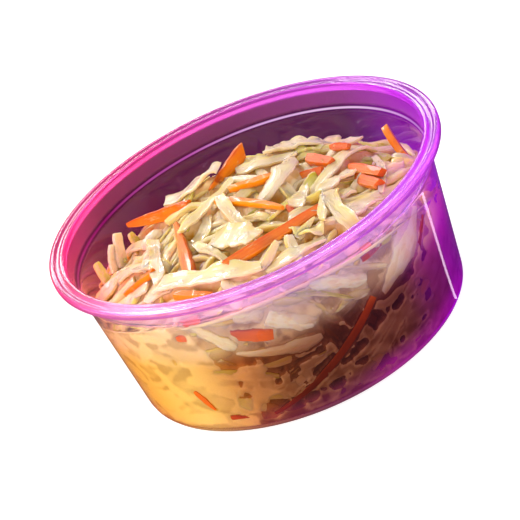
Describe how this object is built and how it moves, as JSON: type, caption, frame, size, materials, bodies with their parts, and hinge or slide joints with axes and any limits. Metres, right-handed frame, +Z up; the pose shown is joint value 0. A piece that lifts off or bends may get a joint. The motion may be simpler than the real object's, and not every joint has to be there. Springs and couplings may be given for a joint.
{
  "type": "tub of coleslaw",
  "caption": "Round clear plastic deli tub with a rolled lid rim, filled with a heap of shredded cabbage and carrot in dressing.",
  "frame": {"origin": "centre of the tub's foot, on the surface it stands on", "axes": "+Z up along the tub's axis, -Y towards the side where the slaw is heaped highest"},
  "size_m": [0.117, 0.117, 0.0515],
  "materials": {
    "tub_plastic": "clear tinted polypropylene, pink to violet at the rim, amber at one side",
    "slaw": "moist shredded cabbage in creamy dressing",
    "carrot": "moist orange carrot sticks in the slaw",
    "dressing": "wet creamy dressing between the shreds"
  },
  "bodies": {
    "root": {"tub": "tub_plastic", "coleslaw": "slaw"}
  },
  "joints": []
}
